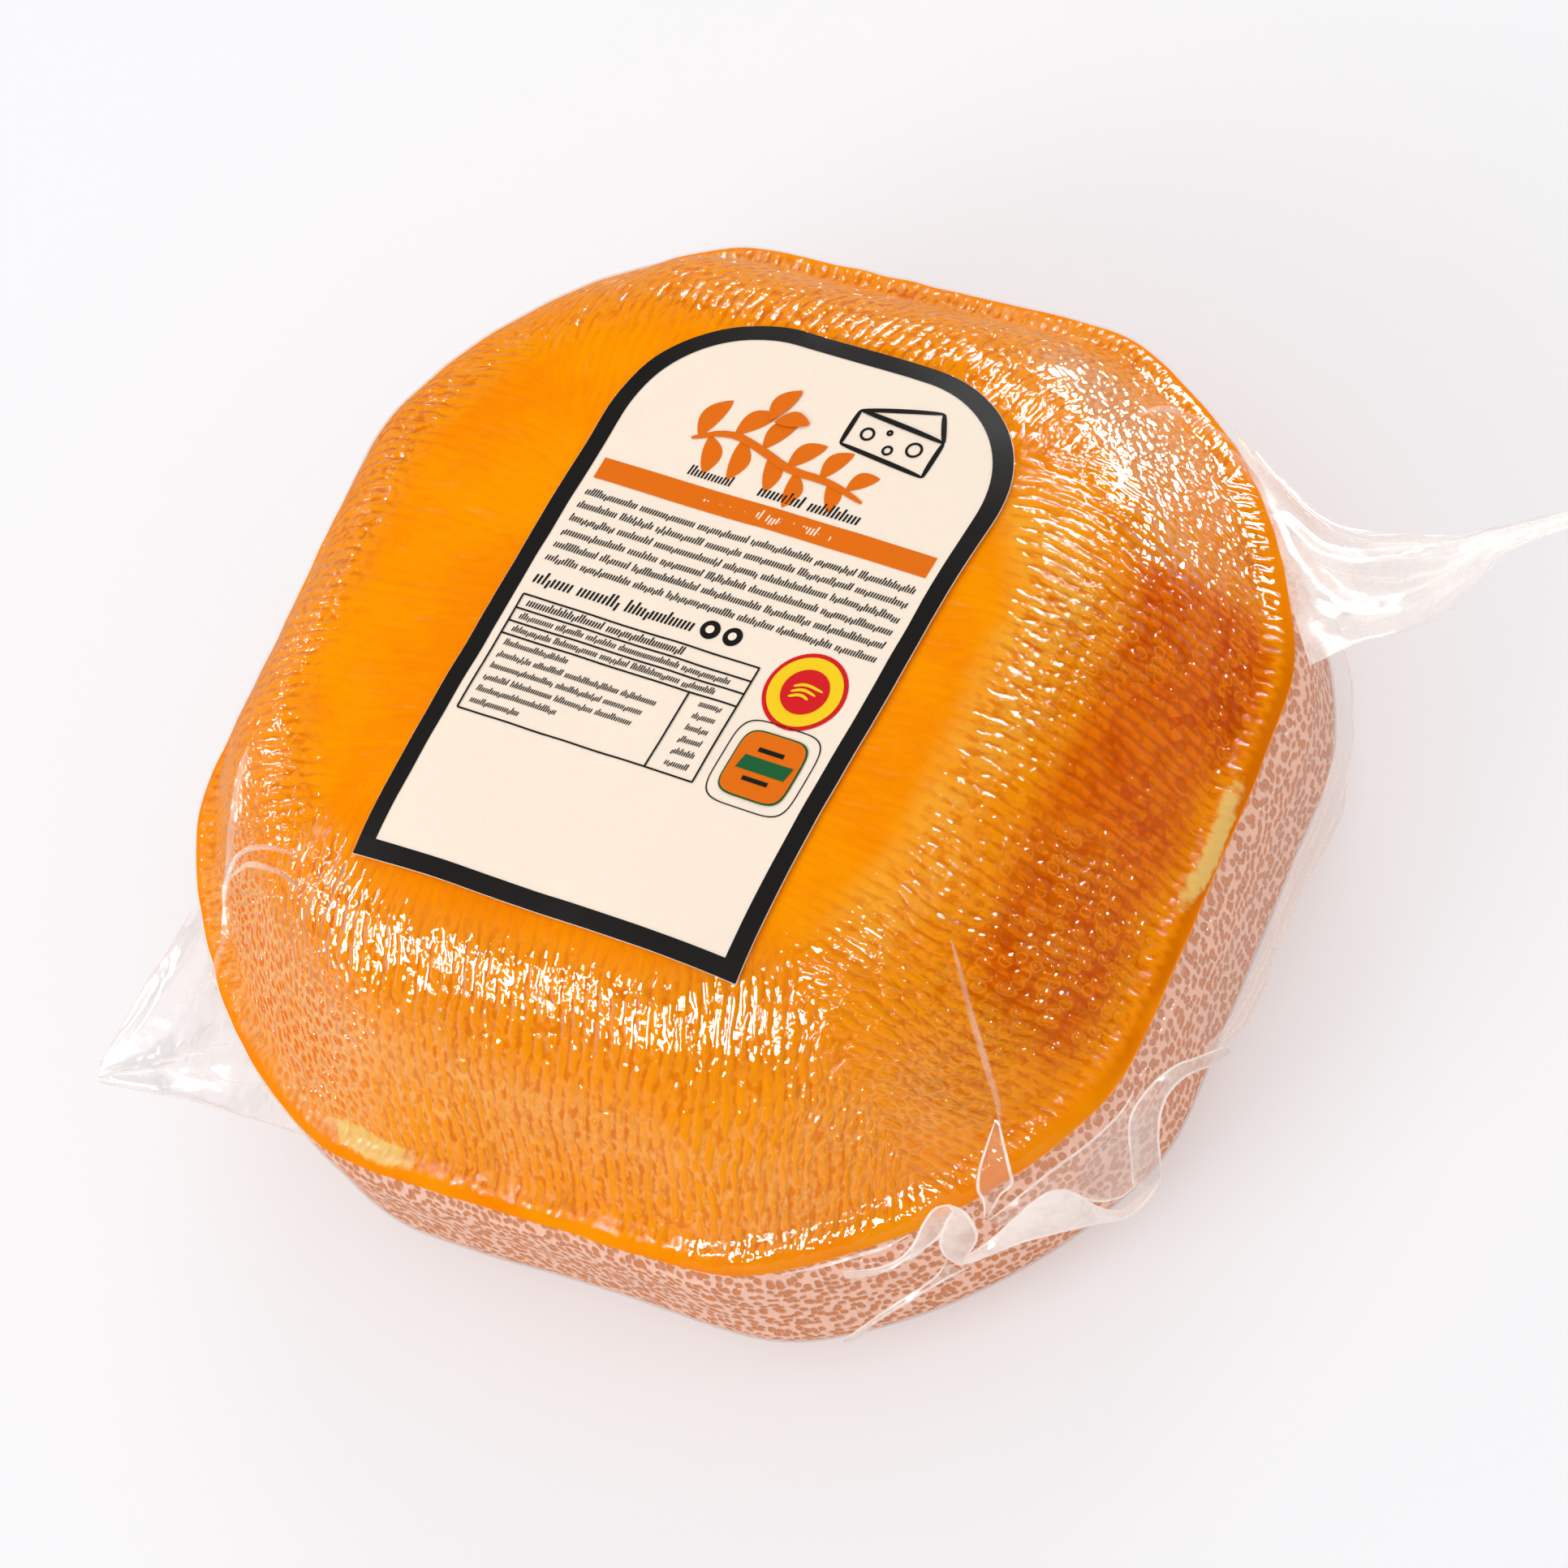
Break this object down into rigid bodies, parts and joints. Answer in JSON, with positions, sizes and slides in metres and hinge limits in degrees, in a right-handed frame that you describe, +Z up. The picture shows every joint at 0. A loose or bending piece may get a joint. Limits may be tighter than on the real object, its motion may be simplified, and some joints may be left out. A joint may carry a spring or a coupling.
{
  "type": "cheese wheel",
  "caption": "Rounded square pressed cheese in a clear vacuum-shrunk film bag with an ear, a gathered tail and a folded end seal, with an arched label on top.",
  "frame": {"origin": "middle of the flat underside, where the packed cheese rests", "axes": "+Z up through the top; +X to the label's right; +Y to the label's arched end"},
  "size_m": [0.2301, 0.1896, 0.0911],
  "materials": {
    "rind": "oiled orange rind with a pressed cloth pattern",
    "clear_film": "clear glossy shrink film with wrinkles",
    "label_paper": "satin coated paper with a dark printed border"
  },
  "bodies": {
    "root": {"cheese_wheel": "rind", "vacuum_bag": "clear_film", "top_label": "label_paper"}
  },
  "joints": []
}
